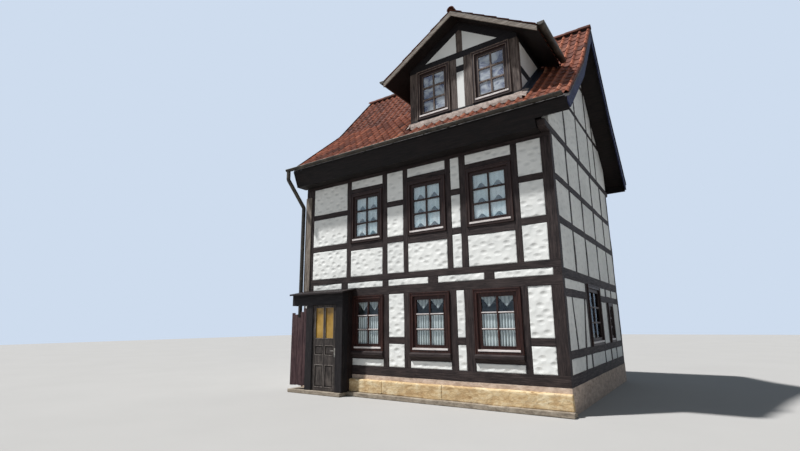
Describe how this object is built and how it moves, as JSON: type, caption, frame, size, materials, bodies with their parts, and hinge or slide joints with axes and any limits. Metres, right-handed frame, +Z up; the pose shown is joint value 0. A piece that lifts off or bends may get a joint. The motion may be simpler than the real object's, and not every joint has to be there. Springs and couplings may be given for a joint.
{
  "type": "half timbered house",
  "caption": "Hollow two-storey half timbered house with plastered panels, a knee-pitched tiled roof, a wide gabled dormer and a boarded porch with an inward door.",
  "frame": {"origin": "on the ground at the centre of the rectangular footprint of the walls", "axes": "+X to the right along the street front, +Y back into the house, +Z up"},
  "size_m": [8.39, 7.844, 10.324],
  "materials": {
    "timber": "weathered dark brown paint on oak",
    "floor_boards": "plain boards",
    "dark_boards": "dark brown paint",
    "grey_boards": "weathered pale grey boards",
    "red_brown_boards": "faded red-brown paint",
    "plaster": "white limewashed plaster with trowel marks",
    "mahogany_frames": "satin red-brown varnish",
    "dark_frames": "satin dark brown paint",
    "window_glass": "clear",
    "yellow_glass": "yellow figured glass",
    "tiles": "fired clay, weathered",
    "zinc": "weathered zinc",
    "sandstone": "dressed yellow sandstone",
    "foundation_stone": "pink-grey render",
    "kerb_stone": "grey stone",
    "door_paint": "weathered dark brown paint",
    "iron": "dark iron"
  },
  "bodies": {
    "house": {"attic_floor": "floor_boards", "barge_boards": "dark_boards", "cheek_plates": "timber", "corner_board": "timber", "doorstep": "kerb_stone", "dormer_barge_boards": "grey_boards", "dormer_beams": "timber", "dormer_cheeks": "plaster", "dormer_infill": "plaster", "dormer_posts": "timber", "dormer_rafters": "timber", "dormer_roof": "tiles", "downpipe": "zinc", "eave_cornices": "dark_boards", "floor_joists": "timber", "foundation_long_walls": "foundation_stone", "foundation_short_walls": "foundation_stone", "front_beams": "timber", "front_infill": "plaster", "front_posts": "timber", "front_rails": "timber", "front_window_sills": "mahogany_frames", "gable_beams": "timber", "gable_infill": "plaster", "gable_posts": "timber", "gable_rails": "timber", "ground_floor": "foundation_stone", "ground_window_frames": "mahogany_frames", "gutters": "zinc", "hinge_pins": "iron", "kerb_course": "kerb_stone", "party_wall": "plaster", "plinth_stones": "sandstone", "porch_boarding": "red_brown_boards", "porch_head_beam": "timber", "porch_hood": "dark_boards", "porch_posts": "timber", "porch_sides": "timber", "rafters": "timber", "rear_beams": "timber", "rear_infill": "plaster", "rear_posts": "timber", "rear_rails": "timber", "rear_window_frames": "dark_frames", "ridge_capping": "tiles", "roof_front": "tiles", "roof_rear": "tiles", "sprockets": "timber", "tie_beams": "timber", "upper_floor": "floor_boards", "upper_window_frames": "dark_frames", "window_panes": "window_glass"},
    "door": {"front_door": "door_paint", "door_glass": "yellow_glass", "door_handles": "iron"}
  },
  "joints": [
    {"name": "front_door_hinge", "type": "hinge", "parent": "house", "child": "door", "pos_m": [-2.95, -3.588, 1.201], "axis": [0, 0, 1], "range_deg": [0, 90]}
  ]
}
